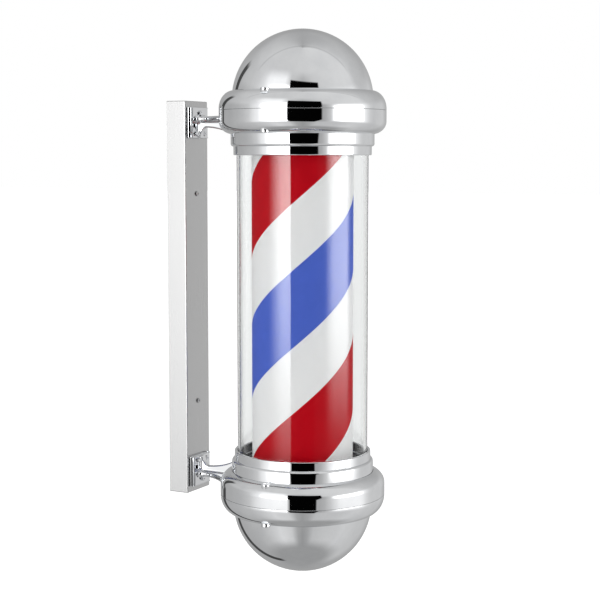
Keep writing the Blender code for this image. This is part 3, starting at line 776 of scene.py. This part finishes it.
def make_arms():
    """Each arm with its foot, as one casting."""
    for name, node, sign in (("upper_arm_cast", "upper_arm", 1), ("lower_arm_cast", "lower_arm", -1)):
        mesh = skin(name, [foot_grid(sign), arm_grid(sign)])
        settle(name, mesh, "root", FINISHES["chrome"], node)


def recessed_head(radius, height, recess, steps=48):
    """A domed screw head on its seat at z = 0, with a driver's recess.

    Rings run from the seat up the side, over a rounded edge and in to the middle. The crown is a flat arc,
    less the recess's depth where recess(x, y), scaled to the radius, says so.
    """
    side = [(0.96 * radius, 0.0), (radius, 0.05 * height)]
    edge = ellipse((0.88 * radius, 0.78 * height), 0.12 * radius, 0.14 * height, 0, 80, FILLET_STEPS)
    crown = np.linspace(0.88, 0.02, 24)
    rim = edge[-1]
    crown_z = rim[1] + 0.08 * height * (1 - (crown * radius / rim[0]) ** 2)
    outline = np.concatenate([side, edge, np.stack([crown * radius, crown_z], -1)])
    angle = np.linspace(0, 2 * np.pi, steps, endpoint=False)
    x, y = outline[:, :1] * np.cos(angle), outline[:, :1] * np.sin(angle)
    top = np.arange(len(outline)) >= len(side) + len(edge)
    depth = np.where(top[:, None], recess(x / radius, y / radius), 0)
    z = outline[:, 1:] - 0.55 * height * depth
    return np.stack([x, y, z], axis=-1), False


def cross_recess(x, y):
    """1 inside a cross whose arms narrow outwards."""
    along, across = np.maximum(abs(x), abs(y)), np.minimum(abs(x), abs(y))
    return np.clip((0.17 - across) / 0.04, 0, 1) * np.clip((0.62 - along) / 0.12, 0, 1)


def hexagon_recess(x, y):
    """1 inside a hexagon."""
    turns = np.radians([0, 60, 120])
    span = np.max([abs(x * np.cos(a) + y * np.sin(a)) for a in turns], axis=0)
    return np.clip((0.5 - span) / 0.06, 0, 1)


def shank(radius, length):
    """A plain shank below a head, from z = 0 down."""
    rows = [(radius, -length), (radius, -0.001 * MM)]
    return turn(rows, 24, closed=False)


def make_screw(node, direction, radius, height, recess, finish="chrome"):
    """A screw in a node's place; its seat lies the head's height inside the box's end on the head's side."""
    low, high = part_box(node)
    axis = int(np.argmax(np.abs(direction)))
    middle = np.array((low + high) / 2)
    length = (high - low)[axis] - height
    seat = middle.copy()
    seat[axis] = (high if direction[axis] > 0 else low)[axis] - direction[axis] * height
    grids = [recessed_head(radius, height, recess), shank(0.38 * radius, length)]
    mesh = skin(node + "_turned", [placed(grid, seat, direction) for grid in grids])
    settle(node + "_turned", mesh, "root", FINISHES[finish], node)


def make_rim_screws():
    for end, sign in (("top", 1), ("bottom", -1)):
        for side in ("left", "right"):
            for shell, way in (("dome", sign), ("collar", -sign)):
                node = f"{end}_{shell}_screw_{side}"
                make_screw(node, (0, 0, way), RIM_HEAD_RADIUS, RIM_HEAD_HEIGHT, hexagon_recess)


def make_wall_screws():
    for arm in ("upper", "lower"):
        for number in (1, 2, 3):
            make_screw(f"{arm}_foot_screw_{number}", (0, -1, 0), *FOOT_HEAD, cross_recess)
        make_screw(f"channel_screw_{arm}", (0, -1, 0), *CHANNEL_HEAD, cross_recess, "satin_steel")


def make_inner():
    """Every frame node that keeps its own shape gets its slot's finish."""
    slots = {part["node"]: part["material_slot"] for part in frame["record"]["subparts"]}
    for name, node in frame["nodes"].items():
        if not node.hide_render:
            node.data.materials.clear()
            node.data.materials.append(FINISHES[slots[name]])


# The studio.


def make_floor(settings):
    """A wide pale floor, below the light as it hangs on its wall."""
    size = 60.0
    corners = [(-size, -size), (size, -size), (size, size), (-size, size)]
    mesh = bpy.data.meshes.new("studio_floor")
    mesh.from_pydata([(x, y, -settings.floor_drop) for x, y in corners], [], [(0, 1, 2, 3)])
    floor = bpy.data.objects.new("studio_floor", mesh)
    bpy.context.scene.collection.objects.link(floor)
    made, sheet = material("pale_floor", "none")
    grain = sheet.noise(sheet.position(), 3.0, 3.0)
    sheet.surface(
        Base_Color=sheet.blend(grain, grey(0.9), grey(0.88)),
        Roughness=0.8,
        Emission_Color=grey(1.0),
        Emission_Strength=0.6,
    )
    floor.data.materials.append(made)
    floor.visible_glossy = False
    floor.visible_diffuse = False
    floor.visible_transmission = False
    floor.visible_shadow = False
    floor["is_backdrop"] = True


# How bright the room is, by bearing: at level, low down, high up and overhead.
ROOM_PEAK = 1.25
FLOOR_LEVEL = 0.36
LEVEL = (
    (-180, 0.4), (-150, 0.42), (-116, 0.45), (-100, 0.5), (-89, 0.56), (-78, 0.67), (-68, 0.95),
    (-58, 1.14), (-50, 1.2), (-21, 1.2), (-20, 0.5), (24, 0.4), (31, 0.48), (39, 0.69), (43, 0.85),
    (48, 1.0), (53, 1.14), (60, 1.2), (86, 1.2), (93, 1.08), (99, 0.86), (106, 0.7), (113, 0.64),
    (140, 0.66), (155, 0.52), (180, 0.4),
)
LOW = (
    (-180, 0.38), (-120, 0.46), (-80, 0.54), (-60, 0.66), (-42, 0.78), (-20, 0.68), (-9, 0.42), (0, 0.36),
    (9, 0.42), (20, 0.58), (60, 0.64), (80, 0.7), (120, 0.6), (140, 0.57), (160, 0.42), (180, 0.38),
)
HIGH = (
    (-180, 0.38), (-140, 0.48), (-120, 0.56), (-100, 0.6), (-80, 0.72), (-70, 0.86), (-60, 1.1),
    (-50, 1.16), (-30, 1.14), (-20, 0.66), (0, 0.5), (20, 0.66), (60, 0.76), (90, 0.78), (102, 0.62),
    (140, 0.5), (180, 0.38),
)
OVERHEAD = (
    (-180, 0.44), (-140, 0.58), (-105, 0.66), (-90, 0.68), (-20, 0.68), (20, 0.72), (90, 0.76), (110, 0.62),
    (150, 0.5), (180, 0.44),
)


def make_light(settings):
    """Soft studio light from all round, as a world.

    Bearings are in degrees from the way to the camera, to the right as the camera sees it, and heights are in
    degrees above level. Two soft boxes stand left and right of a dark screen, under a pale ceiling with a
    faint seam and over a grey floor, and a thin dark stand is behind on the left. What is seen straight, or
    through the clear tube without being turned back, is plain white.
    """
    world = bpy.data.worlds.new("studio_light")
    bpy.context.scene.world = world
    world.use_nodes = True
    sheet = Sheet(world.node_tree)
    way = sheet.node("ShaderNodeTexCoord", output="Generated")
    x, y, z = sheet.split(way)
    front = np.radians(settings.bearing + 180)
    ahead = x * float(np.cos(front)) + y * float(np.sin(front))
    right = y * float(np.cos(front)) - x * float(np.sin(front))
    degree = float(180 / np.pi)
    bearing = sheet.math("ARCTAN2", right, ahead) * degree
    height = sheet.math("ARCSINE", z) * degree

    def room(levels):
        stops = [((place + 180) / 360, (level / ROOM_PEAK,) * 3) for place, level in levels]
        share = (bearing + 180) / 360
        return sheet.node("ShaderNodeValToRGB", {"stops": stops}, {"Fac": share}) * ROOM_PEAK

    low = FLOOR_LEVEL + (room(LOW) - FLOOR_LEVEL) * sheet.ease(height, -70, -50)
    level = low + (room(LEVEL) - low) * sheet.ease(height, -23, -9)
    high = level + (room(HIGH) - level) * sheet.ease(height, 6, 20)
    light = high + (room(OVERHEAD) - high) * sheet.ease(height, 28, 48)

    left_box = sheet.window(bearing, -30, -21.5, 34, 1.0) * sheet.window(height, -4, 5, 10, 20)
    right_box = sheet.window(bearing, 60, 82, 22, 12) * sheet.window(height, -4, 1, 8, 12)
    seam = sheet.window(ahead, -0.088, -0.057, 0.02, 0.02) * sheet.ease(z, 0.5, 0.7)
    stand = sheet.window(bearing - height * sheet.ease(height, -4, 4) * 0.4, -147, -137, 1.5, 1.5)
    stand = stand * sheet.window(height, -62, 24, 6, 8)
    path = sheet.node("ShaderNodeLightPath")
    seen = {socket.name: Value(sheet, socket) for socket in path.socket.node.outputs}
    light = light * (1 - seen["Is Singular Ray"] * seen["Is Glossy Ray"] * settings.tube_shade)
    light = light + left_box * settings.left_box + right_box * settings.right_box
    light = light * (1 - seam * 0.14) * (1 - stand * 0.85)
    below = sheet.math("MAXIMUM", height * -1.0, 0.0)
    screen_left = -20.8 + below * 0.24
    screen_right = 25.0 - below * 0.53
    screen = sheet.ease(bearing - screen_left, -0.7, 0.0)
    screen = screen * sheet.ease(bearing - screen_right, 0.0, 2.5, 1.0, 0.0)
    screen = screen * sheet.window(height + bearing * 0.09, -17, 27, 1.5, 2.5)
    light = light * (1 - screen * 0.998)

    unturned = sheet.math("LESS_THAN", seen["Glossy Depth"] + seen["Diffuse Depth"], 0.5)
    behind = sheet.ease(sheet.math("ABSOLUTE", bearing), 100, 125) * sheet.window(height, -24, 16, 4, 4)
    through = sheet.math("MAXIMUM", unturned, behind) * seen["Is Transmission Ray"]
    straight = sheet.math("MAXIMUM", seen["Is Camera Ray"], through)
    strength = light + (1.0 - light) * straight
    shader = sheet.node("ShaderNodeBackground", sockets={"Color": grey(1.0), "Strength": strength})
    sheet.node("ShaderNodeOutputWorld", sockets={"Surface": shader})


def make_camera(settings):
    lens = bpy.data.cameras.new("studio_camera")
    lens.lens = settings.focal_length
    lens.sensor_width = 36.0
    lens.clip_end = 200.0
    camera = bpy.data.objects.new("studio_camera", lens)
    bpy.context.scene.collection.objects.link(camera)
    bearing = np.radians(settings.bearing)
    camera.location = (
        -settings.camera_distance * np.cos(bearing),
        AXIS_Y - settings.camera_distance * np.sin(bearing),
        settings.camera_height,
    )
    tilt = np.radians(90 - settings.camera_tilt)
    camera.rotation_euler = (tilt, 0, bearing - np.radians(90 - settings.camera_turn))
    bpy.context.scene.camera = camera


class PoleSettings(bpy.types.PropertyGroup):
    """Colours and sizes of the light's finishes."""

    stripe_rise: FloatProperty(
        name="Stripe rise",
        description="How far a stripe rises in one turn",
        default=0.36,
        min=0.05,
        unit="LENGTH",
    )
    stripe_height: FloatProperty(
        name="Stripe height",
        description="Height of a red or blue stripe",
        default=0.097,
        min=0.01,
        unit="LENGTH",
    )
    stripe_start: FloatProperty(
        name="Stripe start",
        description="Height of a blue stripe's upper edge on the drum's +X side",
        default=-0.1499,
        unit="LENGTH",
    )
    red: FloatVectorProperty(
        name="Red", description="Red ink", default=(0.5, 0.0, 0.007), subtype="COLOR", min=0, max=1
    )
    blue: FloatVectorProperty(
        name="Blue", description="Blue ink", default=(0.075, 0.135, 0.58), subtype="COLOR", min=0, max=1
    )
    white_level: FloatProperty(
        name="White", description="How white the film's ground is", default=0.84, min=0, max=1
    )
    # Painted light: how strongly the film gives off its own colours, standing in for studio light falling on it.
    painted_glow: FloatProperty(
        name="Glow", description="How much of its colour the lit film gives off", default=0.36, min=0
    )
    chrome_roughness: FloatProperty(
        name="Chrome roughness", description="Roughness of the clean plating", default=0.02, min=0, max=1
    )


class StudioSettings(bpy.types.PropertyGroup):
    """Where the camera stands and how bright the studio is."""

    bearing: FloatProperty(
        name="Bearing", description="Way the camera looks, in degrees from +X towards +Y", default=28.0
    )
    camera_distance: FloatProperty(
        name="Distance",
        description="From the camera to the pole's axis, level",
        default=1.88,
        unit="LENGTH",
    )
    camera_height: FloatProperty(
        name="Height", description="Of the camera above the pole's middle", default=0.191, unit="LENGTH"
    )
    camera_tilt: FloatProperty(name="Tilt", description="Degrees that the camera looks down", default=5.67)
    camera_turn: FloatProperty(name="Turn", description="Degrees that the camera is turned left", default=0.1)
    focal_length: FloatProperty(
        name="Focal length",
        description="Of the camera's lens, in millimetres",
        default=88.3,
        subtype="DISTANCE_CAMERA",
    )
    floor_drop: FloatProperty(
        name="Floor drop",
        description="From the pole's middle down to the floor",
        default=1.6,
        unit="LENGTH",
    )
    tube_shade: FloatProperty(
        name="Tube shade",
        description="How much of the room, without the soft boxes, is kept out of the tube's reflections",
        default=0.92,
        min=0,
        max=1,
    )
    left_box: FloatProperty(
        name="Left box", description="Brightness of the left soft box's middle", default=5.5
    )
    right_box: FloatProperty(
        name="Right box", description="Brightness of the right soft box's middle", default=4.6
    )


class POLE_OT_finishes(bpy.types.Operator):
    """Make the light's materials"""

    bl_idname = "pole.finishes"
    bl_label = "Finishes"

    def execute(self, context):
        make_finishes(context.scene.pole)
        return {"FINISHED"}


class POLE_OT_shells(bpy.types.Operator):
    """Make the domes, shoulders, bands, collars and gaskets"""

    bl_idname = "pole.shells"
    bl_label = "End shells"

    def execute(self, context):
        make_end_shells()
        return {"FINISHED"}


class POLE_OT_tube(bpy.types.Operator):
    """Make the clear outer tube"""

    bl_idname = "pole.tube"
    bl_label = "Clear tube"

    def execute(self, context):
        make_tube()
        return {"FINISHED"}


class POLE_OT_drum(bpy.types.Operator):
    """Make the striped drum"""

    bl_idname = "pole.drum"
    bl_label = "Striped drum"

    def execute(self, context):
        make_drum()
        return {"FINISHED"}


class POLE_OT_channel(bpy.types.Operator):
    """Make the wall channel"""

    bl_idname = "pole.channel"
    bl_label = "Wall channel"

    def execute(self, context):
        make_channel()
        return {"FINISHED"}


class POLE_OT_arms(bpy.types.Operator):
    """Make the two cast arms"""

    bl_idname = "pole.arms"
    bl_label = "Cast arms"

    def execute(self, context):
        make_arms()
        return {"FINISHED"}


class POLE_OT_rim_screws(bpy.types.Operator):
    """Make the screws on the shoulders and bands"""

    bl_idname = "pole.rim_screws"
    bl_label = "Rim screws"

    def execute(self, context):
        make_rim_screws()
        return {"FINISHED"}


class POLE_OT_wall_screws(bpy.types.Operator):
    """Make the screws on the feet and the channel"""

    bl_idname = "pole.wall_screws"
    bl_label = "Foot and channel screws"

    def execute(self, context):
        make_wall_screws()
        return {"FINISHED"}


class POLE_OT_inner(bpy.types.Operator):
    """Finish the pieces that keep the frame's own shape"""

    bl_idname = "pole.inner"
    bl_label = "Inner pieces"

    def execute(self, context):
        make_inner()
        return {"FINISHED"}


class POLE_OT_stage(bpy.types.Operator):
    """Make the floor, the light and the camera"""

    bl_idname = "pole.stage"
    bl_label = "Stage"

    def execute(self, context):
        settings = context.scene.studio
        make_floor(settings)
        make_light(settings)
        make_camera(settings)
        context.scene.view_settings.view_transform = "Standard"
        return {"FINISHED"}


OPERATORS = (
    POLE_OT_stage,
    POLE_OT_finishes,
    POLE_OT_shells,
    POLE_OT_tube,
    POLE_OT_drum,
    POLE_OT_channel,
    POLE_OT_arms,
    POLE_OT_rim_screws,
    POLE_OT_wall_screws,
    POLE_OT_inner,
)


class POLE_PT_panel(bpy.types.Panel):
    """The light's settings and pieces"""

    bl_idname = "POLE_PT_panel"
    bl_label = "Barber Pole Light"
    bl_space_type = "VIEW_3D"
    bl_region_type = "UI"
    bl_category = "Barber Pole"

    def draw(self, context):
        for group in (context.scene.pole, context.scene.studio):
            for name in group.bl_rna.properties.keys():
                if name not in {"rna_type", "name"}:
                    self.layout.prop(group, name)
        for operator in OPERATORS:
            self.layout.operator(operator.bl_idname)


CLASSES = (PoleSettings, StudioSettings, *OPERATORS, POLE_PT_panel)


def register():
    for cls in CLASSES:
        bpy.utils.register_class(cls)
    bpy.types.Scene.pole = PointerProperty(type=PoleSettings)
    bpy.types.Scene.studio = PointerProperty(type=StudioSettings)


def unregister():
    del bpy.types.Scene.studio
    del bpy.types.Scene.pole
    for cls in reversed(CLASSES):
        bpy.utils.unregister_class(cls)


def main():
    register()
    for operator in OPERATORS:
        getattr(bpy.ops.pole, operator.bl_idname.split(".")[1])()
    boxes = {"cad": CAD_BOX, "visual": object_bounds()}
    boxes = {name: [list(corner) for corner in box] for name, box in boxes.items()}


if __name__ == "__main__":
    main()
